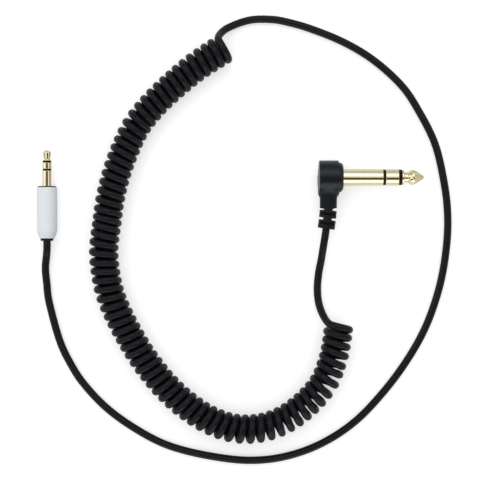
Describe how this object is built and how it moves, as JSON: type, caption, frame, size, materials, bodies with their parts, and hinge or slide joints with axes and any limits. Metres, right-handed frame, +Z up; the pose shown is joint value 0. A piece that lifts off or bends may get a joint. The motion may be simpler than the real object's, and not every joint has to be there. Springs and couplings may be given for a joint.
{
  "type": "instrument cable",
  "caption": "Curly instrument cable with a right-angle 6.35 mm stereo jack on a short lead and a straight 3.5 mm stereo plug on a long lead.",
  "frame": {"origin": "on the surface that the cable lies on, midway between the two plugs", "axes": "+Z up from the surface, +X the way the 6.35 mm jack's contacts point, +Y the way the 3.5 mm plug's contacts point"},
  "size_m": [0.1604, 0.1738, 0.013],
  "materials": {
    "cord_jacket": "matte",
    "relief_rubber": "satin",
    "black_housing": "satin",
    "gold_contact": "polished",
    "contact_insulator": "matte",
    "white_insulator": "matte",
    "tinned_lug": "bright tinned",
    "inner_moulding": "matte",
    "white_barrel": "matte",
    "black_trim": "matte",
    "core_white": "gloss",
    "core_red": "gloss",
    "core_green": "gloss"
  },
  "bodies": {
    "cable": {"strain_relief": "relief_rubber", "jack_cord_tail": "cord_jacket", "mini_tip": "gold_contact", "mini_tip_insulator": "contact_insulator", "mini_ring": "gold_contact", "mini_ring_insulator": "contact_insulator", "mini_sleeve": "gold_contact", "mini_front_washer": "black_trim", "mini_sleeve_lug": "tinned_lug", "mini_rear_insulator": "white_insulator", "mini_ring_lug": "tinned_lug", "mini_back_washer": "white_insulator", "mini_tip_lug": "tinned_lug", "mini_core_tip": "core_white", "mini_core_ring": "core_red", "mini_core_ground": "core_green", "mini_inner_mould": "inner_moulding", "mini_barrel": "white_barrel", "mini_collar": "black_trim", "mini_cord_tail": "cord_jacket", "long_lead": "cord_jacket", "curly_cord": "cord_jacket", "short_lead": "cord_jacket"},
    "jack": {"jack_tip": "gold_contact", "jack_tip_insulator": "contact_insulator", "jack_ring": "gold_contact", "jack_ring_insulator": "contact_insulator", "jack_sleeve": "gold_contact", "jack_sleeve_lug": "tinned_lug", "jack_rear_insulator": "white_insulator", "jack_ring_lug": "tinned_lug", "jack_back_washer": "white_insulator", "jack_tip_lug": "tinned_lug", "jack_core_tip": "core_white", "jack_core_ring": "core_red", "jack_core_ground": "core_green", "jack_inner_mould": "inner_moulding", "jack_housing": "black_housing"}
  },
  "joints": [
    {"name": "relief_bend", "type": "hinge", "parent": "cable", "child": "jack", "pos_m": [0.0376, -0.0086, 0.0065], "axis": [0, 0, 1], "range_deg": [-37, 19], "stiffness_Nm_per_rad": 0.05, "deforming": ["strain_relief", "jack_cord_tail"]}
  ]
}
